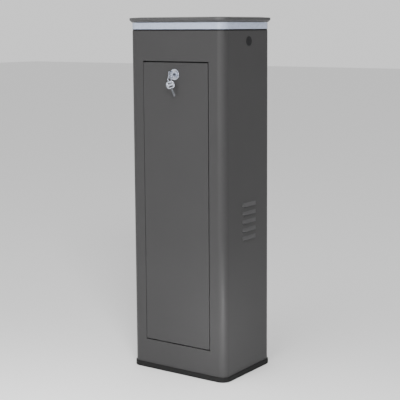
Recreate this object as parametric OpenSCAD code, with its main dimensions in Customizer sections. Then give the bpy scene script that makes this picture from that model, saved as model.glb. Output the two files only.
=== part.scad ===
// Parking barrier cabinet with its boom drive. X runs along the door, the door is at -Y, Z is up, ground at z = 0.

/* [Cabinet] */
// Width of the body across the door
body_w = 320; // [312:1:360]
// Depth of the body from door to rear wall
body_d = 236; // [234:1:260]
// Height from the ground to the top of the lid
total_h = 1000; // [996:1:1040]
// Radius of the four upright corners
corner_r = 24; // [14:1:30]
// Sheet thickness of the body
sheet_t = 2.5; // [2:0.1:3]
// Height of the black base gasket
skirt_h = 14; // [10:1:20]
// How far the base gasket stands out from the body
skirt_out = 3; // [1:0.5:6]
// Thickness of the base plate
plate_t = 6; // [5:0.5:8]
// Anchor bolt spacing along X
anchor_x = 220; // [180:1:230]
// Anchor bolt spacing along Y
anchor_y = 140; // [110:1:146]
// Radius of the anchor holes
anchor_hole_r = 7; // [5:0.5:9]
// Radius of the cable entry in the base plate
cable_r = 35; // [20:1:50]
// Width of the turned-in flange that stands on the base plate
foot_w = 26; // [20:1:28]

/* [Top] */
// Height of the light strip
band_h = 18; // [12:1:26]
// Height of the shadow gap below the light strip
gap_h = 4.5; // [2:0.5:6]
// Height of the lid with its sloping rim
lid_h = 15; // [12:1:24]
// How far the lid's rim overhangs the body
lid_over = 8; // [4:0.5:12]
// How far the lid lifts off its frame
lid_travel = 120; // [40:1:160]
// Space between the lid and the light strip
lid_gap = 0.4; // [0.3:0.1:1]
// Light strip thickness
band_t = 5; // [3:0.5:6]

/* [Door] */
// Width of the door leaf
door_w = 218.5; // [190:0.1:230]
// Height of the door leaf
door_h = 790.7; // [700:0.1:796]
// Gap at the left edge of the door leaf
gap_left = 0.6; // [0.5:0.1:3]
// Gap at the right edge of the door leaf
gap_right = 2.8; // [1:0.1:3]
// Gap above the door leaf
gap_top = 3.2; // [1.5:0.1:4]
// Gap below the door leaf
gap_bottom = 2.4; // [1.5:0.1:4]
// Door centre, right of the body's centre
door_x = -1.65; // [-3:0.05:3]
// Underside of the door leaf above the ground
door_z = 86.2; // [80:0.1:110]
// Depth of the door's return flanges
door_deep = 14; // [10:1:16]
// Lock centre below the door's top edge
lock_drop = 32.4; // [28:0.1:50]
// Reach of the lock's cam
cam_reach = 38; // [34:1:44]
// Width of the key's blade
blade_h = 5.6; // [4:0.2:8]

/* [Ventilation] */
// Louvres on each side wall
louvres = 5; // [2:1:8]
// Louvre pitch
louvre_pitch = 23.25; // [18:0.25:30]
// Lower edge of the lowest louvre
louvre_z = 386; // [330:1:420]
// Louvre length
louvre_w = 60; // [50:1:90]
// Louvre hood height
hood_h = 10; // [7:0.5:14]
// Louvre hood projection
hood_p = 5.5; // [3:0.5:6]
// Radius of the round side plug
plug_r = 13; // [10:0.5:16]
// Side plug height above the ground
plug_z = 934; // [900:1:945]
// Centre of the louvres and plug, behind the middle of the side wall
side_y = 4.5; // [-10:0.5:10]

/* [Drive] */
// Boom shaft height above the ground
shaft_z = 838; // [832:1:842]
// Boom shaft radius
shaft_r = 17.5; // [15:0.5:18]
// Radial clearance of a shaft in its bearing
run = 0.05; // [0.01:0.01:0.1]
// Height of the boom shaft above its shelf
bearing_h = 47.6; // [46:0.1:50]
// Radius of the boom flange
flange_r = 60; // [56:1:64]
// Pitch circle radius of the boom flange holes
flange_pcr = 45; // [42:1:48]
// Radius of the boom flange holes
flange_hole_r = 6.5; // [5:0.5:7]
// Centre distance of the two cranks and of the link rod
link_len = 250; // [248:1:256]
// Crank radius
crank_r = 60; // [56:1:62]
// Radius of the two link pins
pin_r = 6; // [5:0.5:6.5]
// Thickness of the cranks
crank_t = 12; // [10:1:12]
// Spring lever radius
spring_arm = 70; // [66:1:72]
// Anchor pin of the spring, right of the shaft
anchor_pin_x = 35; // [32:1:38]
// Anchor pin of the spring above the ground
anchor_pin_z = 278; // [274:1:290]
// Balance spring coil radius to the middle of the wire
coil_r = 17.5; // [15:0.5:18]
// Balance spring wire radius
wire_r = 2.5; // [2:0.1:2.8]
// Turns of the balance spring
coil_turns = 24; // [20:1:26]
// Worm wheel teeth
wheel_teeth = 40; // [40:1:40]
// Worm wheel module
gear_m = 2; // [2:0.1:2]
// Motor radius
motor_r = 36; // [30:1:37]
// Motor length
motor_len = 150; // [130:1:160]

/* [Hidden] */
eps = 0.01;
body_top = total_h - gap_h - band_h - lid_h;
band_z = body_top + gap_h;
lid_z = band_z + band_h;
front = -body_d/2;
rear = body_d/2;
open_w = door_w + gap_left + gap_right;
open_h = door_h + gap_top + gap_bottom;
open_x = door_x + (gap_right - gap_left)/2;
open_z = door_z - gap_bottom;
open_cz = open_z + open_h/2;
lock_z = door_z + door_h - lock_drop;
shelf_t = 8;
shelf_z = shaft_z - bearing_h - shelf_t;
box_z = shaft_z - link_len;
plate_y = 100;
chassis_t = 6;
lever_y = [17, 17 + crank_t];
eye_y = [1, 15];
spring_y = -14;
centre = gear_m*(wheel_teeth + 10)/2;
worm_y = 62;
worm_pr = 5*gear_m;
lead = PI*gear_m;
motor_top = box_z - 60;
spring_a = atan2(spring_arm - anchor_pin_x, shaft_z - anchor_pin_z);
spring_l = sqrt(pow(spring_arm - anchor_pin_x, 2) + pow(shaft_z - anchor_pin_z, 2));
fit_lo = 46;
fit_hi = 68;
coil_len = spring_l - fit_lo - fit_hi;
ring_r = 10.3;
key_ring_p = [door_x - 1.5, front - 21.6, lock_z - 2 - ring_r];
paint = [0.38, 0.38, 0.38];
zinc = [0.72, 0.73, 0.75];
black = [0.12, 0.12, 0.12];

// A rectangle with round corners
module rrect(w, d, r) {
  square([w - 2*r, d], center = true);
  square([w, d - 2*r], center = true);
  for (sx = [-1, 1], sy = [-1, 1]) translate([sx*(w/2 - r), sy*(d/2 - r)]) circle(r = r, $fn = 48);
}
// The body's outline moved inwards by i, or outwards when i is negative
module outline(i) rrect(body_w - 2*i, body_d - 2*i, max(1, corner_r - i));
// A ring between two of those outlines
module ring(i0, i1, z0, z1) {
  translate([0, 0, z0]) linear_extrude(z1 - z0) difference() { outline(i0); outline(i1); }
}
// Extrudes an X-Z drawing from y0 to y1
module xz(y0, y1) { translate([0, y1, 0]) rotate([90, 0, 0]) linear_extrude(y1 - y0) children(); }
// Extrudes a Y-Z drawing from x0 to x1
module yz(x0, x1) { translate([x0, 0, 0]) rotate([90, 0, 90]) linear_extrude(x1 - x0) children(); }
module ycyl(x, z, r, y0, y1) { xz(y0, y1) translate([x, z]) circle(r = r, $fn = 48); }
module zcyl(x, y, r, z0, z1) { translate([x, y, z0]) cylinder(r = r, h = z1 - z0, $fn = 48); }
module box(x0, x1, y0, y1, z0, z1) { translate([x0, y0, z0]) cube([x1 - x0, y1 - y0, z1 - z0]); }
// The door opening's outline moved outwards by o
module opening(o) translate([open_x, open_cz]) square([open_w + 2*o, open_h + 2*o], center = true);
// A tapered arm between two bosses, along +X
module arm2(l, r1, r2) {
  a = acos((r1 - r2)/l);
  circle(r = r1, $fn = 48);
  translate([l, 0]) circle(r = r2, $fn = 48);
  q1 = r1 - 0.02;
  q2 = r2 - 0.02;
  polygon([[q1*cos(a), q1*sin(a)], [l + q2*cos(a), q2*sin(a)],
           [l + q2*cos(a), -q2*sin(a)], [q1*cos(a), -q1*sin(a)]]);
}

module cabinet_shell() color(paint) {
  difference() {
    union() {
      ring(0, sheet_t, 3, body_top);
      ring(sheet_t - eps, foot_w, plate_t, plate_t + sheet_t);
      ring(sheet_t - eps, 13, body_top - sheet_t, body_top);
      for (s = [-1, 1], i = [0 : louvres - 1]) translate([s*body_w/2, side_y, louvre_z + i*louvre_pitch])
        mirror([s < 0 ? 1 : 0, 0, 0]) difference() {
          xz(-louvre_w/2 - 3.5, louvre_w/2 + 3.5) hood(0);
          xz(-louvre_w/2, louvre_w/2) hood(1.4);
        }
    }
    xz(front - 1, front + sheet_t + 1) opening(0);
    for (s = [-1, 1], i = [0 : louvres - 1])
      translate([s*(body_w/2 - sheet_t/2), side_y, louvre_z + i*louvre_pitch + (hood_h - 3)/2])
        cube([sheet_t + 1, louvre_w, hood_h - 3], center = true);
    translate([0, side_y, plug_z]) rotate([0, 90, 0]) cylinder(r = plug_r - 2.5, h = body_w + 10, center = true, $fn = 48);
    ycyl(0, shaft_z, 30, rear - sheet_t - 1, rear + 1);
  }
}
// The hood's profile, made smaller by t
module hood(t) polygon([[-eps, 0], [hood_p - t, 0], [hood_p - t, 1.8 - t/2], [-eps, hood_h - 1.3*t]]);
module base_skirt() color(black) {
  ring(-skirt_out, 0, 0, skirt_h);
  ring(-eps, sheet_t, 0, 3);
}
module base_plate() color(zinc) difference() {
  linear_extrude(plate_t) difference() {
    outline(sheet_t);
    circle(r = cable_r, $fn = 64);
    for (sx = [-1, 1], sy = [-1, 1]) translate([sx*anchor_x/2, sy*anchor_y/2]) circle(r = anchor_hole_r, $fn = 32);
  }
}
module top_frame() color(black) {
  ring(1, 13, body_top, band_z);
  ring(band_t, band_t + 2, band_z - eps, lid_z);
}
module light_band() color([0.8, 0.82, 0.86]) ring(0, band_t, band_z, lid_z);
module door_frame() color(paint) {
  xz(front + sheet_t, front + sheet_t + 2) difference() { opening(14); opening(3); }
  difference() {
    xz(front + sheet_t + 2 - eps, -98 + eps) difference() { opening(5); opening(3); }
    box(-body_w, body_w, front, -90, 0, open_z + 20);
  }
  for (s = [-1, 1]) box(open_x + s*(open_w/2 + 4) - 1, open_x + s*(open_w/2 + 4) + 1,
    front + sheet_t + 2 - eps, -98 + eps, open_z - 5, open_z + 21);
  xz(-98, -96) difference() { opening(5); opening(-12); }
}
module door_seal() color(black) xz(front + door_deep + 0.3, -98) difference() { opening(-1.5); opening(-11); }
module side_plugs() color(black) for (s = [-1, 1]) translate([s*body_w/2, side_y, plug_z]) rotate([0, s*90, 0]) {
  cylinder(r = plug_r, h = 0.8, $fn = 48);
  translate([0, 0, -8]) difference() {
    cylinder(r = plug_r - 2.5, h = 8 + eps, $fn = 48);
    translate([0, 0, -1]) cylinder(r = plug_r - 4.5, h = 8, $fn = 48);
  }
}
module chassis_plate() color(zinc) difference() {
  box(-110, 110, plate_y, plate_y + chassis_t, 60, shelf_z);
  for (z = [110, 730]) ycyl(0, z, 15, plate_y - 1, plate_y + chassis_t + 1);
}
module chassis_spacers() color(zinc) for (x = [-95, 95], z = [90, 740])
  ycyl(x, z, 10, plate_y + chassis_t, rear - sheet_t);
module shaft_shelf() color(zinc) {
  difference() {
    box(-105, 105, -70, plate_y + chassis_t, shelf_z, shelf_z + shelf_t);
    box(-85, 95, -30, 36, shelf_z - 1, shelf_z + shelf_t + 1);
  }
  for (x = [-100, 100]) yz(x - 3, x + 3)
    polygon([[plate_y, shelf_z + eps], [-60, shelf_z + eps], [-60, shelf_z - 12], [plate_y, shelf_z - 100]]);
}
module bearing_housings() color([0.3, 0.42, 0.5]) for (y = [-68, 64]) difference() {
  union() {
    box(-70, 70, y, y + 36, shelf_z + shelf_t, shelf_z + shelf_t + 14);
    ycyl(0, shaft_z, 42, y, y + 36);
    box(-36, 36, y, y + 36, shelf_z + shelf_t, shaft_z - 10);
  }
  ycyl(0, shaft_z, 31, y - 1, y + 37);
  for (x = [-54, 54]) zcyl(x, y + 18, 6.5, shelf_z, shelf_z + shelf_t + 20);
}
module bearing_inserts() color(zinc) for (y = [-60, 72]) difference() {
  ycyl(0, shaft_z, 31, y, y + 20);
  ycyl(0, shaft_z, shaft_r + run, y - 1, y + 21);
}
module bearing_bolts() color(zinc) for (x = [-54, 54], y = [-50, 82]) {
  translate([x, y, shelf_z + shelf_t + 14]) cylinder(r = 10, h = 8, $fn = 6);
  zcyl(x, y, 6, shelf_z + shelf_t + 0.5, shelf_z + shelf_t + 14 + eps);
}
module box_outline(o) translate([15, 0]) rrect(146 - 2*o, 120 - 2*o, 14 - o);
module gearbox_housing() color([0.45, 0.47, 0.5]) translate([0, 0, box_z]) difference() {
  xz(44, plate_y) box_outline(0);
  xz(43, 94) box_outline(6);
  ycyl(0, 0, 23.5, 82, 97);
  zcyl(centre, worm_y, 9, -70, -50);
}
module gearbox_cover() color([0.45, 0.47, 0.5]) translate([0, 0, box_z]) {
  difference() {
    union() {
      xz(36, 44) box_outline(0);
      ycyl(0, 0, 30, 43, 54);
    }
    ycyl(0, 0, 23.5, 42, 55);
    ycyl(0, 0, 14, 35, 55);
    for (x = [-50, 15, 80], z = [-52, 52]) ycyl(x, z, 3.2, 35, 45);
  }
  for (s = [-1, 1]) translate([stop_p(0), 0, s*stop_p(1)]) ycyl(0, 0, 6, lever_y[0], 36 + eps);
}
// Centre of the rest stop, against the side of the crank: 0 gives x, 1 gives z
function stop_t() = (24 + 10.5 - 44*(10/crank_r))/sqrt(1 - pow(10/crank_r, 2));
function stop_p(i) = i == 0 ? (stop_t() - 44)*sqrt(0.5) : (stop_t() + 44)*sqrt(0.5);
module stop_buffers() color(black) translate([0, 0, box_z]) for (s = [-1, 1])
  translate([stop_p(0), 0, s*stop_p(1)]) difference() {
    ycyl(0, 0, 10, lever_y[0], 34);
    ycyl(0, 0, 6, lever_y[0] - 1, 35);
  }
module gearbox_bolts() color(zinc) for (x = [-50, 15, 80], z = [-52, 52]) {
  ycyl(x, box_z + z, 5.5, 31, 36);
  ycyl(x, box_z + z, 3, 36 - eps, 44);
}
module output_bearings() color(zinc) for (y = [[42, 54], [82, 94]]) difference() {
  ycyl(0, box_z, 23.5, y[0], y[1]);
  ycyl(0, box_z, 12.5 + run, y[0] - 1, y[1] + 1);
}
module worm_bearings() color(zinc) for (z = [-54, 45]) difference() {
  zcyl(centre, worm_y, 15, box_z + z, box_z + z + 9);
  zcyl(centre, worm_y, 7 + run, box_z + z - 1, box_z + z + 10);
}
module motor_body() color([0.25, 0.3, 0.36]) translate([centre, worm_y, 0]) difference() {
  union() {
    zcyl(0, 0, motor_r, motor_top - motor_len, motor_top);
    box(-24, 24, -motor_r - 0.9, -20, motor_top - 95, motor_top - 45);
  }
  zcyl(0, 0, motor_r - 8, motor_top - motor_len + 8, motor_top - 10);
  zcyl(0, 0, 9, motor_top - 11, motor_top + 1);
  for (i = [0 : 11]) rotate([0, 0, i*30 + 15]) box(motor_r - 3, motor_r + 5, -2, 2, motor_top - motor_len + 12,
    motor_top - motor_len + 42);
}
module spring_bracket() color(zinc) {
  difference() {
    box(0, 70, -45, plate_y, anchor_pin_z - 42, anchor_pin_z - 34);
    zcyl(anchor_pin_x, spring_y, 6.5, 0, 400);
  }
  for (x = [3, 67]) yz(x - 3, x + 3) polygon([[plate_y, anchor_pin_z - 42 + eps],
    [-30, anchor_pin_z - 42 + eps], [-30, anchor_pin_z - 52], [plate_y, anchor_pin_z - 120]]);
}
module spring_eyebolt() color(zinc) {
  difference() {
    ycyl(anchor_pin_x, anchor_pin_z, 14, spring_y - 4, spring_y + 4);
    ycyl(anchor_pin_x, anchor_pin_z, 5 + run, -40, 20);
  }
  zcyl(anchor_pin_x, spring_y, 6, anchor_pin_z - 66, anchor_pin_z - 11);
}
module eyebolt_nuts() color(zinc) for (z = [-34, -52]) translate([anchor_pin_x, spring_y, anchor_pin_z + z])
  difference() {
    cylinder(r = 11, h = 10, $fn = 6);
    translate([0, 0, -1]) cylinder(r = 6, h = 12, $fn = 32);
  }
module switch_bracket() color(zinc) {
  box(-90, -44, 38, 60, shelf_z + shelf_t, shelf_z + shelf_t + 3);
  box(-79, -76, 38, 60, shelf_z + shelf_t, shaft_z + 12);
}
module limit_switches() color(black) for (y = [43, 53]) {
  box(-76, -45, y - 3.5, y + 3.5, shaft_z - 10, shaft_z + 10);
  box(-45 - eps, -36, y - 1, y + 1, shaft_z - 1.5, shaft_z + 1.5);
  ycyl(-33.5, shaft_z, 4.5, y - 2, y + 2);
}
module control_case() color([0.6, 0.6, 0.58]) difference() {
  box(-145, -5, 20, plate_y, 270, 480);
  box(-142, -8, 19, plate_y - 3, 273, 477);
}
module control_cover() color([0.7, 0.72, 0.72]) box(-145, -5, 16, 20, 270, 480);
module circuit_board() color([0.1, 0.4, 0.2]) {
  box(-135, -15, 60, 61.6, 285, 465);
  for (x = [-125, -25], z = [295, 455]) ycyl(x, z, 4, 61.6 - eps, plate_y - 3);
  for (i = [0 : 3]) box(-125 + i*22, -109 + i*22, 44, 60 + eps, 430, 456);
  for (i = [0 : 8]) box(-130 + i*12, -120 + i*12, 48, 60 + eps, 290, 304);
  box(-60, -30, 36, 60 + eps, 350, 392);
  box(-110, -86, 55, 60 + eps, 350, 374);
}
module terminal_rail() color(zinc) {
  box(-100, -2, 92, plate_y, 208, 227);
  box(-100, -2, 90, 92 + eps, 200, 235);
}
module terminal_blocks() color([0.55, 0.57, 0.6]) for (i = [0 : 8]) box(-96 + i*10, -87.5 + i*10, 52, 90, 195, 240);
module transformer() color([0.35, 0.33, 0.3]) {
  box(-98, -32, 48, plate_y, 92, 148);
  box(-86, -44, 40, plate_y, 104, 136);
}
module shaft_seal() color(black) difference() {
  union() {
    ycyl(0, shaft_z, 30, rear - sheet_t, rear);
    ycyl(0, shaft_z, 36, rear, rear + 3);
  }
  ycyl(0, shaft_z, shaft_r + run, rear - 5, rear + 5);
}

module boom_shaft() color(zinc) ycyl(0, shaft_z, shaft_r, -73, rear + 46);
module boom_hub() color([0.5, 0.52, 0.55]) difference() {
  union() {
    ycyl(0, shaft_z, 30, rear + 5, rear + 34);
    ycyl(0, shaft_z, flange_r, rear + 34 - eps, rear + 46);
  }
  ycyl(0, shaft_z, shaft_r, rear, rear + 50);
  for (a = [45 : 90 : 315]) ycyl(flange_pcr*cos(a), shaft_z + flange_pcr*sin(a), flange_hole_r, rear + 30, rear + 50);
}
module hub_bolt() color(zinc) {
  ycyl(0, shaft_z, 24, rear + 46, rear + 50);
  translate([0, rear + 50 - eps, shaft_z]) rotate([-90, 0, 0]) cylinder(r = 11, h = 9, $fn = 6);
}
module drive_lever() color([0.5, 0.52, 0.55]) difference() {
  translate([0, 0, shaft_z]) xz(lever_y[0], lever_y[1]) rotate(225) arm2(crank_r, 30, 14);
  ycyl(0, shaft_z, shaft_r, 0, 40);
  ycyl(-crank_r*sqrt(0.5), shaft_z - crank_r*sqrt(0.5), pin_r, 0, 40);
}
module spring_lever() color([0.5, 0.52, 0.55]) difference() {
  translate([0, 0, shaft_z]) xz(spring_y - 5, spring_y + 5) arm2(spring_arm, 30, 14);
  ycyl(0, shaft_z, shaft_r, -40, 40);
  ycyl(spring_arm, shaft_z, 6, -40, 40);
}
module drive_pin() color(zinc) pin_at(-crank_r*sqrt(0.5), shaft_z - crank_r*sqrt(0.5), lever_y[1]);
module pin_at(x, z, y1) {
  ycyl(x, z, pin_r, -3, y1);
  ycyl(x, z, pin_r + 4, -5, 0.5);
}
module spring_pin() color(zinc) {
  ycyl(spring_arm, shaft_z, 6, -29, 0);
  ycyl(spring_arm, shaft_z, 9, -30, -27);
}
module limit_cams() color(black) for (c = [[40, 46, 150], [50, 56, 240]]) difference() {
  ycyl(0, shaft_z, 28, c[0], c[1]);
  ycyl(0, shaft_z, shaft_r, c[0] - 1, c[1] + 1);
  translate([0, 0, shaft_z]) xz(c[0] - 1, c[1] + 1) rotate(c[2]) translate([24, -15]) square([10, 30]);
}
module output_shaft() color(zinc) {
  ycyl(0, box_z, 12.5, lever_y[0], 95);
  ycyl(0, box_z, 17, 9, lever_y[0]);
}
module tooth(a, r0, r1, w0, w1) rotate(a) polygon([[r0, -w0], [r1, -w1], [r1, w1], [r0, w0]]);
module worm_wheel() color([0.75, 0.6, 0.3]) translate([0, worm_y, box_z]) {
  step = 0.1/centre*180/PI*1.25;
  difference() {
    rotate([-90, 0, 0]) translate([0, 0, -7]) rotate(-7*step) linear_extrude(14, twist = -14*step, slices = 3) {
      circle(r = gear_m*18.6, $fn = 80);
      for (i = [0 : wheel_teeth - 1])
        tooth(i*360/wheel_teeth, gear_m*18.3, gear_m*20.8, gear_m*1.1, gear_m*0.38);
    }
    ycyl(0, 0, 12.5, -20, 20);
  }
}
module crank_arm() color([0.5, 0.52, 0.55]) {
  difference() {
    translate([0, 0, box_z]) union() {
      xz(lever_y[0], lever_y[1]) rotate(225) arm2(crank_r, 24, 14);
      ycyl(0, 0, 22, lever_y[1] - 1, 34);
    }
    ycyl(0, box_z, 12.5, 0, 40);
  }
  pin_at(-crank_r*sqrt(0.5), box_z - crank_r*sqrt(0.5), lever_y[0] + 6);
}
module link_rod() color(zinc) {
  x = -crank_r*sqrt(0.5);
  zcyl(x, 8, 8, box_z - crank_r*sqrt(0.5) + 36, shaft_z - crank_r*sqrt(0.5) - 36);
}
module rod_ends() color([0.55, 0.56, 0.6]) for (s = [-1, 1]) {
  x = -crank_r*sqrt(0.5);
  z = (s < 0 ? box_z : shaft_z) - crank_r*sqrt(0.5);
  difference() {
    union() {
      ycyl(x, z, 16, eye_y[0], eye_y[1]);
      zcyl(x, 8, 6, z - (s > 0 ? 36 : 0), z + (s > 0 ? 0 : 36));
    }
    ycyl(x, z, pin_r + run, 0, 40);
  }
}
// A fork whose pin end is at the origin and whose web is h above it
module fork(r, bore, half_in, half_out, h) {
  for (s = [-1, 1]) difference() {
    union() {
      ycyl(0, 0, r, s > 0 ? half_in : -half_out, s > 0 ? half_out : -half_in);
      box(-r, r, s > 0 ? half_in : -half_out, s > 0 ? half_out : -half_in, 0, h + eps);
    }
    ycyl(0, 0, bore, -30, 30);
  }
  zcyl(0, 0, r, h - 16, h);
}
module spring_upper_fork() color(zinc) translate([spring_arm, spring_y, shaft_z]) rotate([0, spring_a + 180, 0])
  difference() {
    fork(12.5, 6 + run, 6, 11.5, fit_hi);
    box(-20, 20, -6, 6, -20, 22);
  }
module spring_lower_fork() color(zinc) translate([anchor_pin_x, spring_y, anchor_pin_z]) rotate([0, spring_a, 0]) {
  difference() {
    fork(12.5, 5, 6.5, 11.5, fit_lo);
    box(-20, 20, -6.5, 6.5, -20, 20);
  }
  ycyl(0, 0, 5, -13, 13);
}
module balance_spring() color([0.3, 0.3, 0.32])
  translate([anchor_pin_x, spring_y, anchor_pin_z]) rotate([0, spring_a, 0]) translate([0, 0, fit_lo + 0.5]) {
    pitch = (coil_len - 1)/coil_turns;
    half = 180*(2*wire_r)/pitch;
    n = 5;
    linear_extrude(coil_len - 1, twist = -360*coil_turns, slices = coil_turns*8)
      polygon(concat(
        [for (i = [0 : n]) let(a = -half + i*2*half/n, h = wire_r*sqrt(max(0, 1 - pow(a/half, 2))) + 0.12)
          [(coil_r + h)*cos(a), (coil_r + h)*sin(a)]],
        [for (i = [n : -1 : 0]) let(a = -half + i*2*half/n, h = wire_r*sqrt(max(0, 1 - pow(a/half, 2))) + 0.12)
          [(coil_r - h)*cos(a), (coil_r - h)*sin(a)]]));
  }
module worm_shaft() color(zinc) translate([centre, worm_y, box_z]) {
  zcyl(0, 0, 7, -70, 53);
  len = 5*lead;
  translate([0, 0, -len/2]) rotate(-180*len/lead) linear_extrude(len, twist = -360*len/lead, slices = 70)
    polygon([for (i = [0 : 23]) let(a = i*15, d = abs(a > 180 ? a - 360 : a)/360*lead,
      r = min(worm_pr + gear_m*0.8, max(worm_pr - gear_m*1.2, worm_pr + (0.95 - d)/tan(20)))) [r*cos(a), r*sin(a)]]);
}
module motor_rotor() color([0.5, 0.45, 0.4]) translate([centre, worm_y, 0]) {
  zcyl(0, 0, 16, motor_top - 120, motor_top - 30);
  zcyl(0, 0, 7, motor_top - 136, motor_top - 10);
}
module door_panel() color(paint) difference() {
  translate([door_x, 0, door_z + door_h/2]) difference() {
    xz(front, front + door_deep) rrect(door_w, door_h, 2.5);
    xz(front + 2, front + door_deep + 1) square([door_w - 4, door_h - 4], center = true);
  }
  ycyl(door_x, lock_z, 11, front - 1, front + 4);
}
module door_tongues() color(paint) for (x = [-60, 60]) {
  box(door_x + x - 15, door_x + x + 15, front + 5.5, front + 7.5, door_z - 16, door_z);
  box(door_x + x - 15, door_x + x + 15, front + 7.5 - eps, front + door_deep, door_z - 2, door_z);
}
module lock_housing() color([0.8, 0.8, 0.82]) difference() {
  union() {
    ycyl(door_x, lock_z, 15, front - 2.5, front);
    ycyl(door_x, lock_z, 11, front - eps, front + 20);
    translate([door_x, front + 2, lock_z]) rotate([-90, 0, 0]) cylinder(r = 16, h = 6, $fn = 6);
  }
  ycyl(door_x, lock_z, 7 + run, front - 5, front + 22);
}
module lock_plug() color([0.75, 0.75, 0.78]) difference() {
  ycyl(door_x, lock_z, 7, front - 3.3, front + 24);
  box(door_x - 1.2, door_x + 1.2, front - 5, front + 18, lock_z - blade_h/2 - 0.2, lock_z + blade_h/2 + 0.2);
}
module lock_cam() color(zinc) xz(front + 24, front + 27) {
  translate([door_x, lock_z]) circle(r = 10, $fn = 48);
  translate([door_x - cam_reach, lock_z - 7]) square([cam_reach, 14]);
}
// A key along Y with its bow at -Y, its blade reaching to y = l
module key_blank(l) {
  difference() {
    union() {
      yz(-1, 1) translate([-12, 0]) rrect(20, 22, 7);
      box(-1, 1, -2.5, l, -blade_h/2, blade_h/2);
    }
    yz(-2, 2) for (y = [-16.4, -7.4]) translate([y, 0]) rrect(4.2, 12, 2);
  }
}
module lock_key() color([0.75, 0.75, 0.76]) translate([door_x, front - 6, lock_z]) key_blank(16);
module key_ring() color([0.75, 0.75, 0.76]) translate(key_ring_p) rotate([90, 0, -28])
  rotate_extrude($fn = 64) translate([ring_r, 0]) circle(r = 0.8, $fn = 16);
module hanging_key() color([0.75, 0.75, 0.76]) translate(key_ring_p - [0, 0, ring_r]) rotate([-70, 0, -56])
  translate([0, 17.1, 0]) key_blank(21);
module lid() color(paint) {
  z0 = lid_z + lid_gap;
  difference() {
    hull() for (s = [[1, 0], [lid_over, 6.2], [lid_over, 11.6], [lid_over - 1.6, 13.2], [-70, lid_h - lid_gap]])
      translate([0, 0, z0 + s[1] - eps]) linear_extrude(eps) hull_outline(-s[0]);
    translate([0, 0, z0 - 1]) linear_extrude(11) outline(6);
  }
  difference() {
    ring(band_t + 4, band_t + 6, lid_z - 14, z0 + 10);
    for (s = [-1, 1]) box(s*60 - 12, s*60 + 12, -200, 200, lid_z - 20, lid_z - 4);
  }
}
module hull_outline(i) for (sx = [-1, 1], sy = [-1, 1])
  translate([sx*(body_w/2 - corner_r), sy*(body_d/2 - corner_r)]) circle(r = max(1, corner_r - i), $fn = 40);

cabinet_shell();
base_skirt();
base_plate();
top_frame();
light_band();
door_frame();
door_seal();
side_plugs();
chassis_plate();
chassis_spacers();
shaft_shelf();
bearing_housings();
bearing_inserts();
bearing_bolts();
gearbox_housing();
gearbox_cover();
gearbox_bolts();
output_bearings();
worm_bearings();
motor_body();
stop_buffers();
spring_bracket();
spring_eyebolt();
eyebolt_nuts();
switch_bracket();
limit_switches();
control_case();
control_cover();
circuit_board();
terminal_rail();
terminal_blocks();
transformer();
shaft_seal();
boom_shaft();
boom_hub();
hub_bolt();
drive_lever();
spring_lever();
drive_pin();
spring_pin();
limit_cams();
output_shaft();
worm_wheel();
crank_arm();
link_rod();
rod_ends();
spring_upper_fork();
spring_lower_fork();
balance_spring();
worm_shaft();
motor_rotor();
door_panel();
door_tongues();
lock_housing();
lock_plug();
lock_cam();
lock_key();
key_ring();
hanging_key();
lid();
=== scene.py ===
from math import atan2, cos, degrees, radians, sin

import bpy
from mathutils import Euler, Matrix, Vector


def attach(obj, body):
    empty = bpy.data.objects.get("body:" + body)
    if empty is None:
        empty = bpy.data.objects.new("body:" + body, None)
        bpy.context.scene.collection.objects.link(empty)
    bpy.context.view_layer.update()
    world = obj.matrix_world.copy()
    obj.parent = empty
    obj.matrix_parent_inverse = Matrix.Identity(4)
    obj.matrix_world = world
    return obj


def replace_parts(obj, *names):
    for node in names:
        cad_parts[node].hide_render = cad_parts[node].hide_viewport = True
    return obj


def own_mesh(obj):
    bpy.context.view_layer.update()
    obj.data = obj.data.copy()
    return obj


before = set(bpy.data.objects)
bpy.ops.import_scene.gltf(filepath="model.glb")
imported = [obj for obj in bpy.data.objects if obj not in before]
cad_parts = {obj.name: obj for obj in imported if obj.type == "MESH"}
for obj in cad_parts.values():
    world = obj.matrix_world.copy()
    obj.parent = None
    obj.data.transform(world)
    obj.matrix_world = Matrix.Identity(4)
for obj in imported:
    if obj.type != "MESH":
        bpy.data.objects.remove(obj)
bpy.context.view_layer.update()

# ---------------------------------------------------------------- sizes, in metres
# folded sheet body, centred on X and Y
WIDE, DEEP = 0.320, 0.236
FRONT, REAR = -DEEP / 2, DEEP / 2
CORNER = 0.024
SHEET = 0.0025
BODY_LOW, BODY_TOP = 0.006, 0.9625
TOP_FLANGE, FOOT_FLANGE = 0.013, 0.026
CORNER_STEPS = 14
# black gasket under the body
GASKET_OUT, GASKET_HIGH, GASKET_FLOOR = 0.003, 0.014, 0.003
# light strip and the lid above it
BAND_LOW, BAND_TOP, BAND_WALL = 0.967, 0.985, 0.005
LID_GAP, LID_OVER, LID_TOP = 0.0004, 0.008, 1.0
LID_SLOPE, LID_SLOPE_IN = 0.0062, 0.007
LID_EDGE, LID_CROWN = 0.0019, 0.0017
LID_WALL, LIP_IN, LIP_WALL = 0.006, 0.009, 0.002
# door leaf, the dark gap round it, and its lock
DOOR_W, DOOR_H, DOOR_DEEP, DOOR_SHEET = 0.2185, 0.7907, 0.014, 0.002
DOOR_X, DOOR_LOW = -0.00165, 0.0862
GAP_LEFT, GAP_RIGHT, GAP_TOP, GAP_BOTTOM = 0.0006, 0.0028, 0.0032, 0.0024
LOCK_Z = DOOR_LOW + DOOR_H - 0.0324
COLLAR_R, BARREL_R, NUT_R, LOCK_PLUG_R, LOCK_PLUG_FIT = 0.015, 0.011, 0.016, 0.007, 0.00705
# the ring that carries the spare key
RING_R, RING_WIRE = 0.0103, 0.0008
RING_AT = (DOOR_X - 0.0015, FRONT - 0.0216, LOCK_Z - 0.002 - RING_R)
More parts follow.
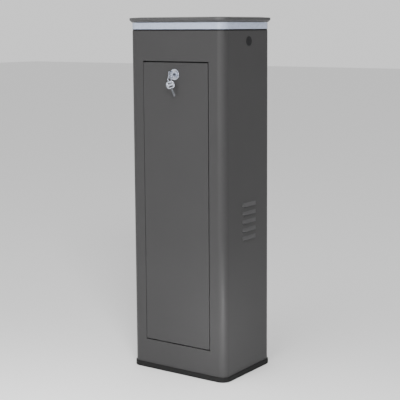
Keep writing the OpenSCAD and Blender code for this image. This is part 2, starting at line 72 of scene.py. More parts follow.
# a key: half its thickness, its bow, the two slots in the bow, and its blade
KEY_HALF, BOW_HALF, BOW_CORNER = 0.001, 0.011, 0.007
BOW_SLOTS, SLOT_HALF_HIGH, SLOT_HALF_LONG = (-0.0164, -0.0074), 0.0021, 0.006
BLADE_HALF, KEY_CUTS, KEY_CUT_PITCH = 0.0028, (0.0009, 0.0004, 0.0012, 0.0007), 0.0034
# louvres and round plugs in both side walls
LOUVRE_LOW = [0.386 + i * 0.02325 for i in range(5)]
LOUVRE_LONG, HOOD_HIGH, HOOD_OUT, HOOD_LIP, HOOD_END = 0.060, 0.010, 0.0055, 0.0018, 0.008
HOOD_MARGIN, HOOD_SHEET, SLOT_BELOW, SLOT_ABOVE = 0.0035, 0.0012, 0.0022, 0.007
PLUG_Z, PLUG_R, PLUG_LIP = 0.934, 0.013, 0.0025
SIDE_Y = 0.0045
# boom shaft, and the balance spring between its two forks
SHAFT_Z, SHAFT_HOLE_R = 0.838, 0.030
SPRING_FOOT, SPRING_TOP = (0.035, -0.014, 0.278), (0.070, -0.014, SHAFT_Z)
FORK_LOW, FORK_HIGH = 0.0465, 0.0685
COIL_R, WIRE_R, COIL_TURNS = 0.0175, 0.0025, 24
# how far a cutter reaches past the sheet that it cuts
CUT = 0.01


# ---------------------------------------------------------------- workshop helpers
def drop_selection():
    if bpy.context.mode != "OBJECT":
        bpy.ops.object.mode_set(mode="OBJECT")
    bpy.ops.object.select_all(action="DESELECT")


def settle(piece, name):
    """Puts the piece's place into its mesh and names it."""
    bpy.ops.object.transform_apply(location=True, rotation=True, scale=True)
    piece.name = name
    piece.data.name = name
    return piece


def block(name, low, high):
    """A box between two corners."""
    drop_selection()
    middle = [(a + b) / 2 for a, b in zip(low, high)]
    bpy.ops.mesh.primitive_cube_add(size=1, location=middle, scale=[b - a for a, b in zip(low, high)])
    return settle(bpy.context.object, name)


def rod(name, radius, start, end, sides=48):
    """A round bar from start to end."""
    drop_selection()
    a, b = Vector(start), Vector(end)
    turn = (b - a).to_track_quat("Z", "Y").to_euler()
    bpy.ops.mesh.primitive_cylinder_add(vertices=sides, radius=radius, depth=(b - a).length,
                                        location=(a + b) / 2, rotation=turn)
    return settle(bpy.context.object, name)


def ring(name, radius, wire, at, turn, sides=64, wire_sides=16):
    """A round wire ring."""
    drop_selection()
    bpy.ops.mesh.primitive_torus_add(major_radius=radius, minor_radius=wire, major_segments=sides,
                                     minor_segments=wire_sides, location=at, rotation=turn)
    return settle(bpy.context.object, name)


def work_on(piece):
    """Makes the piece the only one selected, and the active one."""
    drop_selection()
    piece.select_set(True)
    bpy.context.view_layer.objects.active = piece


def pick_edges(piece, wanted):
    """Selects the edges for which wanted(middle, direction) holds, and stays in edit mode."""
    work_on(piece)
    bpy.ops.object.mode_set(mode="EDIT")
    bpy.ops.mesh.select_mode(type="EDGE")
    bpy.ops.mesh.select_all(action="DESELECT")
    bpy.ops.object.mode_set(mode="OBJECT")
    points = piece.data.vertices
    for edge in piece.data.edges:
        a, b = (points[i].co for i in edge.vertices)
        edge.select = bool(wanted((a + b) / 2, (b - a).normalized()))
    bpy.ops.object.mode_set(mode="EDIT")


def pick_faces(piece, wanted):
    """Selects the faces for which wanted(middle, normal) holds, and stays in edit mode."""
    work_on(piece)
    bpy.ops.object.mode_set(mode="EDIT")
    bpy.ops.mesh.select_mode(type="FACE")
    bpy.ops.mesh.select_all(action="DESELECT")
    bpy.ops.object.mode_set(mode="OBJECT")
    for face in piece.data.polygons:
        face.select = bool(wanted(face.center, face.normal))
    bpy.ops.object.mode_set(mode="EDIT")


def leave():
    """Goes back to object mode."""
    bpy.ops.object.mode_set(mode="OBJECT")


def round_over(piece, wanted, radius, steps):
    """Rounds the edges for which wanted(middle, direction) holds."""
    pick_edges(piece, wanted)
    bpy.ops.mesh.bevel(offset=radius, segments=steps, affect="EDGES", profile=0.5)
    leave()


def take_away(piece, wanted):
    """Deletes the faces for which wanted(middle, normal) holds."""
    pick_faces(piece, wanted)
    bpy.ops.mesh.delete(type="FACE")
    leave()


def finish_with(piece, kind, **settings):
    """Adds a modifier and applies it."""
    work_on(piece)
    step = piece.modifiers.new(kind.lower(), kind)
    for key, value in settings.items():
        setattr(step, key, value)
    bpy.ops.object.modifier_apply(modifier=step.name)
    return piece


def saw(piece, *cutters):
    """Cuts each cutter out of the piece and throws the cutter away."""
    for cutter in cutters:
        finish_with(piece, "BOOLEAN", operation="DIFFERENCE", object=cutter, solver="EXACT")
        bpy.data.objects.remove(cutter, do_unlink=True)
    return piece


def soften(piece, width, steps=2, above=40):
    """Breaks the sharp edges and smooths what is round."""
    finish_with(piece, "BEVEL", width=width, segments=steps, limit_method="ANGLE",
                angle_limit=radians(above), use_clamp_overlap=True, harden_normals=False)
    return flatten(piece)


def smooth(piece, below=32):
    """Smooths across edges that turn by less than the given angle."""
    work_on(piece)
    bpy.ops.object.shade_smooth_by_angle(angle=radians(below))
    return piece


def flatten(piece, below=32):
    """Smooths what is round and keeps large flat faces flat."""
    smooth(piece, below)
    return finish_with(piece, "WEIGHTED_NORMAL", keep_sharp=True, weight=100)


def one_piece(name, *parts):
    """Joins the parts into one mesh."""
    work_on(parts[0])
    for part in parts[1:]:
        part.select_set(True)
    bpy.ops.object.join()
    parts[0].name = name
    parts[0].data.name = name
    return parts[0]


def move_all(piece, by):
    """Moves the whole piece."""
    pick_faces(piece, lambda c, n: True)
    bpy.ops.transform.translate(value=by)
    leave()


def turn_all(piece, axis, angle):
    """Turns the whole piece about the origin by the right-hand rule, in degrees."""
    pick_faces(piece, lambda c, n: True)
    bpy.ops.transform.rotate(value=-radians(angle), orient_axis=axis, center_override=(0, 0, 0))
    leave()


def fit_in(piece, body, finish, slot, *stands_for):
    """Gives the piece its finish, unless it has one, and its body."""
    if finish:
        piece.data.materials.clear()
        piece.data.materials.append(finish)
    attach(piece, body)
    if stands_for:
        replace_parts(piece, *stands_for)
    return piece


# ---------------------------------------------------------------- finishes
FLECK, DRIFT = 0.16, 0.12  # how far a coat's fleck and a moulding's tone stray from its colour


def finish_start(name, colour, rough, metal=0.0):
    """A new material, with its shader and the place on the piece that its patterns read."""
    material = bpy.data.materials.new(name)
    material.use_nodes = True
    nodes, links = material.node_tree.nodes, material.node_tree.links
    shader = nodes["Principled BSDF"]
    shader.inputs["Base Color"].default_value = (*colour, 1)
    shader.inputs["Roughness"].default_value = rough
    shader.inputs["Metallic"].default_value = metal
    place = nodes.new("ShaderNodeTexCoord")
    return material, nodes, links, shader, place.outputs["Object"]


def grain(nodes, links, place, scale, detail=2.0, stretch=None):
    """A cloudy pattern from 0 to 1."""
    noise = nodes.new("ShaderNodeTexNoise")
    noise.inputs["Scale"].default_value = scale
    noise.inputs["Detail"].default_value = detail
    if stretch:
        mapping = nodes.new("ShaderNodeMapping")
        mapping.inputs["Scale"].default_value = stretch
        links.new(place, mapping.inputs["Vector"])
        place = mapping.outputs["Vector"]
    links.new(place, noise.inputs["Vector"])
    return noise.outputs["Fac"]


def between(nodes, links, source, low, high, start=0.35, end=0.65):
    """Turns a pattern into a value between low and high."""
    spread = nodes.new("ShaderNodeMapRange")
    spread.inputs["From Min"].default_value = start
    spread.inputs["From Max"].default_value = end
    spread.inputs["To Min"].default_value = low
    spread.inputs["To Max"].default_value = high
    links.new(source, spread.inputs["Value"])
    return spread.outputs["Result"]


def two_tone(nodes, links, source, dark, light):
    """Turns a pattern into a colour between dark and light."""
    mix = nodes.new("ShaderNodeMix")
    mix.data_type = "RGBA"
    mix.inputs["A"].default_value = (*dark, 1)
    mix.inputs["B"].default_value = (*light, 1)
    links.new(source, mix.inputs["Factor"])
    return mix.outputs["Result"]


def relief(nodes, links, shader, source, height):
    """Raises the surface by the pattern, up to the given height."""
    bump = nodes.new("ShaderNodeBump")
    bump.inputs["Distance"].default_value = height
    bump.inputs["Strength"].default_value = 1.0
    links.new(source, bump.inputs["Height"])
    links.new(bump.outputs["Normal"], shader.inputs["Normal"])


def darker_lighter(colour, share):
    """The colour made darker and lighter by the given share."""
    return [c * (1 - share) for c in colour], [c * (1 + share) for c in colour]


def powder_coat(name, colour, shine=0.2):
    """Fine-textured grey powder coat with a light and dark fleck and a slow drift in tone."""
    material, nodes, links, shader, place = finish_start(name, colour, 0.42)
    shader.inputs["Specular IOR Level"].default_value = shine
    fine = grain(nodes, links, place, 950, 3)
    slow = grain(nodes, links, place, 7, 3)
    speckle = between(nodes, links, fine, 0, 1, 0.38, 0.66)
    tone = two_tone(nodes, links, speckle, *darker_lighter(colour, FLECK))
    drift = nodes.new("ShaderNodeMix")
    drift.data_type = "RGBA"
    drift.blend_type = "MULTIPLY"
    drift.inputs["Factor"].default_value = 1
    links.new(tone, drift.inputs["A"])
    links.new(two_tone(nodes, links, slow, (0.93, 0.93, 0.93), (1.06, 1.06, 1.06)), drift.inputs["B"])
    links.new(drift.outputs["Result"], shader.inputs["Base Color"])
    links.new(between(nodes, links, fine, 0.36, 0.52), shader.inputs["Roughness"])
    relief(nodes, links, shader, fine, 0.00006)
    return material


def bright_metal(name, colour, rough_low, rough_high, scale, stretch=None, height=0.00002):
    """Machined or plated metal with fine marks in its tone and gloss."""
    material, nodes, links, shader, place = finish_start(name, colour, rough_low, 1.0)
    marks = grain(nodes, links, place, scale, 4, stretch)
    links.new(between(nodes, links, marks, rough_low, rough_high), shader.inputs["Roughness"])
    links.new(two_tone(nodes, links, marks, [c * 0.82 for c in colour], colour), shader.inputs["Base Color"])
    relief(nodes, links, shader, marks, height)
    return material


def zinc_plate(name):
    """Passivated zinc with its patchy crystals."""
    material, nodes, links, shader, place = finish_start(name, (0.56, 0.57, 0.59), 0.38, 1.0)
    cells = nodes.new("ShaderNodeTexVoronoi")
    cells.inputs["Scale"].default_value = 130
    links.new(place, cells.inputs["Vector"])
    flat = nodes.new("ShaderNodeRGBToBW")
    links.new(cells.outputs["Color"], flat.inputs["Color"])
    links.new(two_tone(nodes, links, flat.outputs["Val"], (0.42, 0.43, 0.45), (0.66, 0.67, 0.69)),
              shader.inputs["Base Color"])
    links.new(between(nodes, links, flat.outputs["Val"], 0.28, 0.5, 0.2, 0.8), shader.inputs["Roughness"])
    relief(nodes, links, shader, grain(nodes, links, place, 500, 2), 0.00002)
    return material


def moulded(name, colour, rough, scale, height=0.00004, metal=0.0, shine=0.5):
    """Moulded plastic, rubber or a painted casting, by its grain."""
    material, nodes, links, shader, place = finish_start(name, colour, rough, metal)
    shader.inputs["Specular IOR Level"].default_value = shine
    skin = grain(nodes, links, place, scale, 3)
    links.new(between(nodes, links, skin, rough - 0.1, rough + 0.12), shader.inputs["Roughness"])
    patches = grain(nodes, links, place, 22, 3)
    links.new(two_tone(nodes, links, patches, *darker_lighter(colour, DRIFT)), shader.inputs["Base Color"])
    relief(nodes, links, shader, skin, height)
    return material


def diffuser(name):
    """Milky light strip with a slightly silky skin."""
    material, nodes, links, shader, place = finish_start(name, (0.40, 0.44, 0.54), 0.32)
    haze = grain(nodes, links, place, 240, 3)
    links.new(two_tone(nodes, links, haze, (0.315, 0.355, 0.465), (0.365, 0.41, 0.52)),
              shader.inputs["Base Color"])
    links.new(between(nodes, links, haze, 0.24, 0.4), shader.inputs["Roughness"])
    relief(nodes, links, shader, haze, 0.00003)
    shader.inputs["Coat Weight"].default_value = 0.25
    return material


COAT = powder_coat("charcoal_powder_coat", (0.0362, 0.0357, 0.0362))
# A lighter copy of the body's powder coat for the lid: painted light for the light the lid catches.
LIT_LID_COAT = powder_coat("lid_coat_painted_light", (0.041, 0.0405, 0.042), shine=0.5)
# A lighter copy of the body's powder coat for the louvre hoods: painted light where their faces tilt up to
# the lamps.
LIT_HOOD_COAT = powder_coat("hood_coat_painted_light", (0.056, 0.0555, 0.057), shine=0.3)
ZINC = zinc_plate("zinc_plate")
MACHINED = bright_metal("machined_steel", (0.60, 0.60, 0.62), 0.18, 0.34, 300)
CHROME = bright_metal("polished_chrome", (0.66, 0.70, 0.79), 0.16, 0.3, 180, height=0.000008)
KEY_STEEL = bright_metal("nickel_key", (0.62, 0.66, 0.76), 0.16, 0.32, 420)
# A dark copy of the key's nickel for the blade: painted shade, not a different metal.
SHADED_KEY_BLADE = bright_metal("key_blade_painted_shade", (0.11, 0.115, 0.125), 0.3, 0.45, 500, (1, 0.1, 1))
BRONZE = bright_metal("wheel_bronze", (0.60, 0.40, 0.16), 0.22, 0.4, 300)
RUBBER = moulded("black_rubber", (0.010, 0.010, 0.010), 0.7, 620, shine=0.15)
BLACK = moulded("black_plastic", (0.008, 0.008, 0.009), 0.55, 900, shine=0.2)
GREY = moulded("grey_housing_plastic", (0.46, 0.47, 0.46), 0.45, 800)
IRON = moulded("blue_grey_casting", (0.13, 0.17, 0.2), 0.5, 260, 0.0002)
ALLOY = moulded("cast_alloy", (0.42, 0.43, 0.45), 0.42, 240, 0.00018, 0.85)
CORE = moulded("laminated_core", (0.16, 0.13, 0.11), 0.5, 300, 0.00008, 0.4)
BOARD = moulded("board_green", (0.03, 0.17, 0.07), 0.35, 400)
OILED = moulded("oiled_spring", (0.05, 0.05, 0.055), 0.3, 500, 0.00002, 0.7)
STRIP = diffuser("milky_strip")

# ---------------------------------------------------------------- cabinet body
def upright(middle, direction):
    return abs(direction.z) > 0.99


def sheet_body():
    """The folded body: one sheet round the cabinet, open at top and foot, with every opening cut."""
    body = block("cabinet_body", (-WIDE / 2, FRONT, BODY_LOW), (WIDE / 2, REAR, BODY_TOP))
    round_over(body, upright, CORNER, CORNER_STEPS)
    for way, width in ((1, TOP_FLANGE), (-1, FOOT_FLANGE)):
        pick_faces(body, lambda c, n: n.z * way > 0.9)
        bpy.ops.mesh.inset(thickness=width, depth=0)
        bpy.ops.mesh.delete(type="FACE")
        leave()
    finish_with(body, "SOLIDIFY", thickness=SHEET, offset=-1, use_even_offset=True)
    cutters = [block("door_hole", (DOOR_X - DOOR_W / 2 - GAP_LEFT, FRONT - CUT, DOOR_LOW - GAP_BOTTOM),
                     (DOOR_X + DOOR_W / 2 + GAP_RIGHT, FRONT + CUT, DOOR_LOW + DOOR_H + GAP_TOP))]
    for low in LOUVRE_LOW:
        for side in (-1, 1):
            x = side * WIDE / 2
            cutters.append(block("slot", (x - 0.005, SIDE_Y - LOUVRE_LONG / 2, low - SLOT_BELOW),
                                 (x + 0.002, SIDE_Y + LOUVRE_LONG / 2, low + SLOT_ABOVE)))
    cutters.append(rod("plug_holes", PLUG_R - PLUG_LIP, (-0.2, SIDE_Y, PLUG_Z), (0.2, SIDE_Y, PLUG_Z)))
    cutters.append(rod("shaft_hole", SHAFT_HOLE_R, (0, REAR - CUT, SHAFT_Z), (0, REAR + CUT, SHAFT_Z), 64))
    saw(body, *cutters)
    soften(body, 0.0006, 2, 50)
    return fit_in(body, "cabinet", COAT, "body_paint", "cabinet_shell")


def louvre_hood(name, side, low):
    """A pressed hood: flush with the sheet at its top, open at its lower lip, with sloping ends."""
    wall = side * WIDE / 2
    out = wall + side * HOOD_OUT
    half = LOUVRE_LONG / 2 + HOOD_MARGIN
    hood = block(name, (min(wall, out), SIDE_Y - half, low), (max(wall, out), SIDE_Y + half, low + HOOD_HIGH))

    def outer(middle):
        return abs(middle.x - out) < 1e-5

    pick_edges(hood, lambda c, d: outer(c) and abs(d.y) > 0.9 and c.z > low + 0.005)
    bpy.ops.transform.translate(value=(0, 0, HOOD_LIP - HOOD_HIGH))
    leave()
    for end in (-1, 1):
        pick_edges(hood, lambda c, d: outer(c) and abs(d.y) < 0.9 and (c.y - SIDE_Y) * end > 0.01)
        bpy.ops.transform.translate(value=(0, -end * HOOD_END, 0))
        leave()
    round_over(hood, lambda c, d: outer(c) and c.z > low + 1e-5, 0.0012, 3)
    take_away(hood, lambda c, n: n.z < -0.9 or (n.x * side < -0.9))
    finish_with(hood, "SOLIDIFY", thickness=HOOD_SHEET, offset=-1, use_even_offset=True)
    # The hood takes the lighter copy of the body coat: painted light.
    return fit_in(flatten(hood, 50), "cabinet", LIT_HOOD_COAT, "body_paint")


def base_gasket():
    """The rubber foot: a frame with a step inside that the body stands on."""
    gasket = block("base_gasket", (-WIDE / 2 - GASKET_OUT, FRONT - GASKET_OUT, 0),
                   (WIDE / 2 + GASKET_OUT, REAR + GASKET_OUT, GASKET_HIGH))
    round_over(gasket, upright, CORNER + GASKET_OUT, CORNER_STEPS)
    hollow = block("hollow", (-WIDE / 2 + SHEET, FRONT + SHEET, -CUT), (WIDE / 2 - SHEET, REAR - SHEET, 0.03))
    round_over(hollow, upright, CORNER - SHEET, CORNER_STEPS)
    step = block("step", (-WIDE / 2, FRONT, GASKET_FLOOR), (WIDE / 2, REAR, 0.03))
    round_over(step, upright, CORNER, CORNER_STEPS)
    saw(gasket, hollow, step)
    soften(gasket, 0.0009, 3, 50)
    return fit_in(gasket, "cabinet", RUBBER, "black_rubber", "base_skirt")


def rounded_ring(name, grow, wall, low, high, edge, steps=2):
    """An upright ring that follows the body's outline."""
    piece = block(name, (-WIDE / 2 - grow, FRONT - grow, low), (WIDE / 2 + grow, REAR + grow, high))
    round_over(piece, upright, CORNER + grow, CORNER_STEPS)
    hollow = block("hollow", (-WIDE / 2 - grow + wall, FRONT - grow + wall, low - CUT),
                   (WIDE / 2 + grow - wall, REAR + grow - wall, high + CUT))
    round_over(hollow, upright, CORNER + grow - wall, CORNER_STEPS)
    saw(piece, hollow)
    return soften(piece, edge, steps, 50)


def light_strip():
    strip = rounded_ring("light_strip", 0.0, BAND_WALL, BAND_LOW, BAND_TOP, 0.0007, 3)
    return fit_in(strip, "cabinet", STRIP, "light_diffuser", "light_band")


def lid_cap():
    """The lid: a slightly crowned top over a rim that slopes in to the strip, hollow, with a lip inside."""
    low = BAND_TOP + LID_GAP
    rim = low + LID_SLOPE
    flat = LID_TOP - 0.0018
    lid = block("lid_cap", (-WIDE / 2 - LID_OVER, FRONT - LID_OVER, rim),
                (WIDE / 2 + LID_OVER, REAR + LID_OVER, flat))
    round_over(lid, upright, CORNER + LID_OVER, 16)
    pick_faces(lid, lambda c, n: n.z < -0.9)
    bpy.ops.mesh.inset(thickness=LID_SLOPE_IN, depth=0)
    bpy.ops.transform.translate(value=(0, 0, -LID_SLOPE))
    leave()
    round_over(lid, lambda c, d: abs(d.z) < 0.1 and c.z > LID_TOP - LID_EDGE, LID_EDGE, 5)
    outline_x, outline_y = WIDE / 2 + LID_OVER - 0.0335, REAR + LID_OVER - 0.0335
    round_over(lid, lambda c, d: abs(d.z) < 0.1 and abs(c.z - rim) < 1e-4 and
               (abs(c.x) > outline_x or abs(c.y) > outline_y), 0.0008, 2)
    pick_faces(lid, lambda c, n: n.z > 0.99 and abs(c.x) < 0.05)
    bpy.ops.mesh.inset(thickness=0.029, depth=0)
    bpy.ops.transform.translate(value=(0, 0, LID_CROWN))
    leave()
    hollow = block("hollow", (-WIDE / 2 + LID_WALL, FRONT + LID_WALL, low - CUT),
                   (WIDE / 2 - LID_WALL, REAR - LID_WALL, low + 0.010))
    round_over(hollow, upright, CORNER - LID_WALL, 10)
    saw(lid, hollow)
    flatten(lid, 30)
    lip = rounded_ring("lid_lip", -LIP_IN, LIP_WALL, BAND_TOP - 0.014, low + 0.0102, 0.0004)
    lid = one_piece("lid_cap", lid, lip)
    # The lid takes the lighter copy of the body coat: painted light.
    return fit_in(lid, "lid_body", LIT_LID_COAT, "body_paint", "lid")


def side_plug(name, side):
    """A round push-in plug with a shallow dish in its face."""
    x = side * WIDE / 2
    cap = rod(name, PLUG_R, (x - side * 0.0005, SIDE_Y, PLUG_Z), (x + side * 0.0008, SIDE_Y, PLUG_Z))
    pick_faces(cap, lambda c, n: n.x * side > 0.9)
    bpy.ops.mesh.inset(thickness=0.0022, depth=0)
    bpy.ops.transform.translate(value=(-side * 0.0004, 0, 0))
    leave()
    soften(cap, 0.0002, 2, 30)
    return fit_in(cap, "cabinet", BLACK, "black_plastic")


# ---------------------------------------------------------------- door and lock
def door_leaf():
    """The leaf: a shallow tray of folded sheet, with the hole for the lock."""
    leaf = block("door_leaf", (DOOR_X - DOOR_W / 2, FRONT, DOOR_LOW),
                 (DOOR_X + DOOR_W / 2, FRONT + DOOR_DEEP, DOOR_LOW + DOOR_H))
    round_over(leaf, lambda c, d: abs(d.y) > 0.99, 0.0025, 4)
    round_over(leaf, lambda c, d: c.y < FRONT + 1e-5 and abs(d.y) < 0.1, 0.0014, 4)
    take_away(leaf, lambda c, n: n.y > 0.9)
    finish_with(leaf, "SOLIDIFY", thickness=DOOR_SHEET, offset=-1, use_even_offset=True)
    saw(leaf, rod("lock_hole", BARREL_R, (DOOR_X, FRONT - CUT, LOCK_Z), (DOOR_X, FRONT + CUT, LOCK_Z)))
    flatten(leaf, 30)
    return fit_in(leaf, "door", COAT, "body_paint", "door_panel")


def lock_collar():
    """The lock's fixed part: a dished collar outside, a barrel through the leaf and a nut behind it."""
    collar = rod("lock_collar", COLLAR_R, (DOOR_X, FRONT, LOCK_Z), (DOOR_X, FRONT - 0.0025, LOCK_Z), 64)
    pick_faces(collar, lambda c, n: n.y < -0.9)
    bpy.ops.mesh.inset(thickness=0.0035, depth=0)
    bpy.ops.mesh.inset(thickness=0.0006, depth=0)
    bpy.ops.transform.translate(value=(0, 0.0006, 0))
    leave()
    barrel = rod("barrel", BARREL_R, (DOOR_X, FRONT + 0.0005, LOCK_Z), (DOOR_X, FRONT + 0.020, LOCK_Z))
    nut = rod("nut", NUT_R, (DOOR_X, FRONT + 0.002, LOCK_Z), (DOOR_X, FRONT + 0.008, LOCK_Z), 6)
    collar = one_piece("lock_collar", collar, barrel, nut)
    saw(collar, rod("bore", LOCK_PLUG_FIT, (DOOR_X, FRONT - CUT, LOCK_Z), (DOOR_X, FRONT + 0.03, LOCK_Z)))
    soften(collar, 0.0004, 3, 40)
    return fit_in(collar, "door", CHROME, "chrome", "lock_housing")


def lock_barrel():
    """The plug that turns with the key, with its keyway."""
    plug = rod("lock_barrel", LOCK_PLUG_R, (DOOR_X, FRONT - 0.0033, LOCK_Z), (DOOR_X, FRONT + 0.024, LOCK_Z))
    saw(plug, block("keyway", (DOOR_X - 0.0012, FRONT - CUT, LOCK_Z - 0.0042),
                    (DOOR_X + 0.0012, FRONT + 0.018, LOCK_Z + 0.0042)))
    soften(plug, 0.0003, 2, 40)
    return fit_in(plug, "lock", CHROME, "chrome", "lock_plug")


def cut_key(name, long):
    """A flat key: rounded bow with two slots, towards -Y, and a grooved and cut blade, towards +Y."""
    bow = block("bow", (-KEY_HALF, -0.022, -BOW_HALF), (KEY_HALF, -0.002, BOW_HALF))
    round_over(bow, lambda c, d: abs(d.x) > 0.99, BOW_CORNER, 8)
    for middle in BOW_SLOTS:
        slot = block("slot", (-0.002, middle - SLOT_HALF_HIGH, -SLOT_HALF_LONG),
                     (0.002, middle + SLOT_HALF_HIGH, SLOT_HALF_LONG))
        round_over(slot, lambda c, d: abs(d.x) > 0.99, 0.002, 6)
        saw(bow, slot)
    blade = block("blade", (-KEY_HALF, -0.004, -BLADE_HALF), (KEY_HALF, long, BLADE_HALF))
    round_over(blade, lambda c, d: abs(d.x) > 0.99 and c.y > 0.01, 0.002, 3)
    cutters = []
    for side in (-1, 1):
        near, far = sorted((side * 0.0004, side * 0.002))
        cutters.append(block("groove", (near, -0.0005, -0.0014), (far, 0.03, 0.0006)))
    for i, deep in enumerate(KEY_CUTS):
        start = 0.0015 + i * KEY_CUT_PITCH
        cutters.append(block("notch", (-0.002, start, BLADE_HALF - deep),
                             (0.002, 0.0035 + i * KEY_CUT_PITCH, 0.006)))
    saw(blade, *cutters)
    # The blade takes the dark copy of the key metal: painted shade.
    for part, finish in ((bow, KEY_STEEL), (blade, SHADED_KEY_BLADE)):
        soften(part, 0.00025, 2, 50)
        part.data.materials.append(finish)
    return one_piece(name, bow, blade)


def keys():
    """The key in the lock, and the spare that hangs from it on a split ring."""
    inserted = cut_key("lock_key_cut", 0.016)
    move_all(inserted, (DOOR_X, FRONT - 0.006, LOCK_Z))
    fit_in(inserted, "lock", None, "chrome", "lock_key")
    spare = cut_key("spare_key_cut", 0.021)
    move_all(spare, (0, 0.0171, 0))
    turn_all(spare, "X", -70)
    turn_all(spare, "Z", -56)
    move_all(spare, (RING_AT[0], RING_AT[1], RING_AT[2] - RING_R))
    fit_in(spare, "keys", None, "chrome", "hanging_key")
    split = ring("split_ring", RING_R, RING_WIRE, RING_AT, (radians(90), 0, radians(-28)), 72, 14)
    smooth(split, 60)
    fit_in(split, "keys", KEY_STEEL, "chrome", "key_ring")


# ---------------------------------------------------------------- drive
def coil_spring():
    """A helix of round wire between its two forks, carried by the spring foot's body."""
    foot, top = Vector(SPRING_FOOT), Vector(SPRING_TOP)
    lean = atan2(top.x - foot.x, top.z - foot.z)
    free = (top - foot).length - FORK_LOW - FORK_HIGH
    rise = free - 2 * WIRE_R
    drop_selection()
    bpy.ops.mesh.primitive_circle_add(vertices=12, radius=WIRE_R, location=(COIL_R, 0, 0),
                                      rotation=(radians(90), 0, 0))
    coil = settle(bpy.context.object, "balance_coil")
    finish_with(coil, "SCREW", axis="Z", angle=radians(360), iterations=COIL_TURNS, steps=28, render_steps=28,
                screw_offset=rise / COIL_TURNS, use_merge_vertices=False)
    for low, high in ((-2 * WIRE_R, 1.1 * WIRE_R), (rise - 1.1 * WIRE_R, free)):
        pick_edges(coil, lambda c, d: abs(d.y) < 0.99 and abs(c.y) < 2e-5 and c.x > 0 and low < c.z < high)
        bpy.ops.mesh.edge_face_add()
        leave()
    pick_faces(coil, lambda c, n: True)
    bpy.ops.mesh.normals_make_consistent(inside=False)
    leave()
    smooth(coil, 50)
    move_all(coil, (0, 0, FORK_LOW + WIRE_R))
    turn_all(coil, "Y", degrees(lean))
    move_all(coil, SPRING_FOOT)
    fit_in(coil, "spring_foot", OILED, "spring_steel", "balance_spring")
    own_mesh(coil)


# ---------------------------------------------------------------- every new piece
sheet_body()
for number, low in enumerate(LOUVRE_LOW):
    louvre_hood("louvre_hood_right_%d" % (number + 1), 1, low)
    louvre_hood("louvre_hood_left_%d" % (number + 1), -1, low)
base_gasket()
light_strip()
lid_cap()
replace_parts(side_plug("side_plug_right", 1), "side_plugs")
side_plug("side_plug_left", -1)
door_leaf()
lock_collar()
lock_barrel()
keys()
coil_spring()

# ---------------------------------------------------------------- finishes on the pieces carried over
CARRIED = {
    COAT: ["door_frame", "door_tongues"],
    ZINC: ["base_plate", "chassis_plate", "chassis_spacers", "shaft_shelf", "bearing_bolts", "gearbox_bolts",
           "spring_bracket", "spring_eyebolt", "eyebolt_nuts", "switch_bracket", "terminal_rail", "hub_bolt",
           "link_rod", "spring_upper_fork", "spring_lower_fork", "lock_cam"],
    MACHINED: ["bearing_inserts", "output_bearings", "worm_bearings", "boom_shaft", "output_shaft",
               "drive_pin", "spring_pin", "rod_ends", "worm_shaft"],
    IRON: ["bearing_housings", "boom_hub", "drive_lever", "spring_lever", "crank_arm"],
    ALLOY: ["gearbox_housing", "gearbox_cover", "motor_body"],
    RUBBER: ["door_seal", "stop_buffers", "shaft_seal"],
    # The top frame takes black plastic so that the recessed gap under the light strip reads dark: painted
    # shade.
    BLACK: ["top_frame", "limit_switches", "limit_cams"],
    GREY: ["control_case", "control_cover", "terminal_blocks"],
    CORE: ["transformer", "motor_rotor"],
    BOARD: ["circuit_board"],
    BRONZE: ["worm_wheel"],
}
for finish, names in CARRIED.items():
    for name in names:
        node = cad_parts[name]
        node.data.materials.clear()
        node.data.materials.append(finish)
        for face in node.data.polygons:
            face.material_index = 0

# ---------------------------------------------------------------- camera, floor and light
CAMERA_AT = (1.74799, -2.46562, 0.97447)
CAMERA_DOWN, CAMERA_ROUND, CAMERA_ROLL = 7.839, 34.166, -0.224  # degrees
LENS, SENSOR = 96.19, 36  # millimetres
FLOOR_LOW = -0.0005  # just under the gasket
SKY_LEFT, SKY_RIGHT = 1.0, 0.5

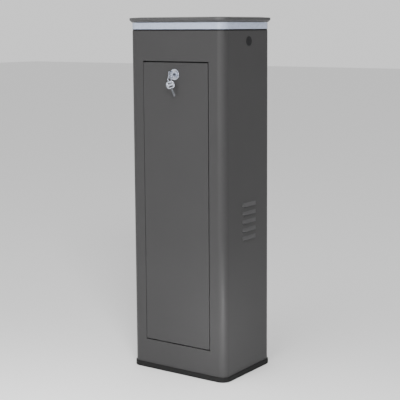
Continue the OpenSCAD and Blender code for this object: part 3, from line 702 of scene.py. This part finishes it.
drop_selection()
bpy.ops.object.camera_add(location=CAMERA_AT)
camera = bpy.context.object
camera.rotation_mode = "QUATERNION"
look = Euler((radians(90 - CAMERA_DOWN), 0, radians(CAMERA_ROUND)), "XYZ").to_quaternion()
roll = Euler((0, 0, radians(CAMERA_ROLL)), "XYZ").to_quaternion()
camera.rotation_quaternion = look @ roll
camera.data.sensor_width = SENSOR
camera.data.lens = LENS
camera.data.shift_x = -0.0565
camera.data.shift_y = -0.0666
camera.data.clip_start = 0.05
camera.data.clip_end = 60
bpy.context.scene.camera = camera

bpy.ops.mesh.primitive_plane_add(size=40, location=(0, 0, FLOOR_LOW))
floor = bpy.context.object
floor.name = "floor"
floor_paint = bpy.data.materials.new("pale_floor")
floor_paint.use_nodes = True
floor_shader = floor_paint.node_tree.nodes["Principled BSDF"]
floor_shader.inputs["Base Color"].default_value = (0.9, 0.9, 0.9, 1)
floor_shader.inputs["Roughness"].default_value = 0.9
floor.data.materials.append(floor_paint)

# a white sky that is brighter on the left, so that the right side of the cabinet stays darker
world = bpy.context.scene.world or bpy.data.worlds.new("studio")
bpy.context.scene.world = world
world.use_nodes = True
sky_nodes, sky_links = world.node_tree.nodes, world.node_tree.links
sky = sky_nodes["Background"]
sky.inputs["Color"].default_value = (1, 1, 1, 1)
sky_way = sky_nodes.new("ShaderNodeTexCoord")
sky_parts = sky_nodes.new("ShaderNodeSeparateXYZ")
sky_links.new(sky_way.outputs["Generated"], sky_parts.inputs["Vector"])
sky_grade = between(sky_nodes, sky_links, sky_parts.outputs["X"], SKY_LEFT, SKY_RIGHT, -0.1, 0.7)
sky_links.new(sky_grade, sky.inputs["Strength"])


def softbox(name, at, target, size, power, spread=180):
    """A square lamp that faces its target, with its power in watts and its spread in degrees."""
    bpy.ops.object.light_add(type="AREA", location=at)
    lamp = bpy.context.object
    lamp.name = name
    lamp.data.size = size
    lamp.data.energy = power
    lamp.data.spread = radians(spread)
    lamp.rotation_mode = "QUATERNION"
    lamp.rotation_quaternion = (Vector(target) - Vector(at)).to_track_quat("-Z", "Y")


softbox("key_softbox", (2.6, -2.9, 2.75), (0, 0, 0.55), 1.0, 138)
softbox("fill_softbox", (0.1, -4.4, 1.1), (0, 0, 0.5), 3.4, 132)
softbox("low_softbox", (0.60, -0.66, 0.09), (0.15, -0.1, 0.16), 0.14, 0.2, 36)
softbox("floor_softbox", (0.35, -1.2, 2.5), (0.35, -1.2, 0), 1.2, 14, 60)
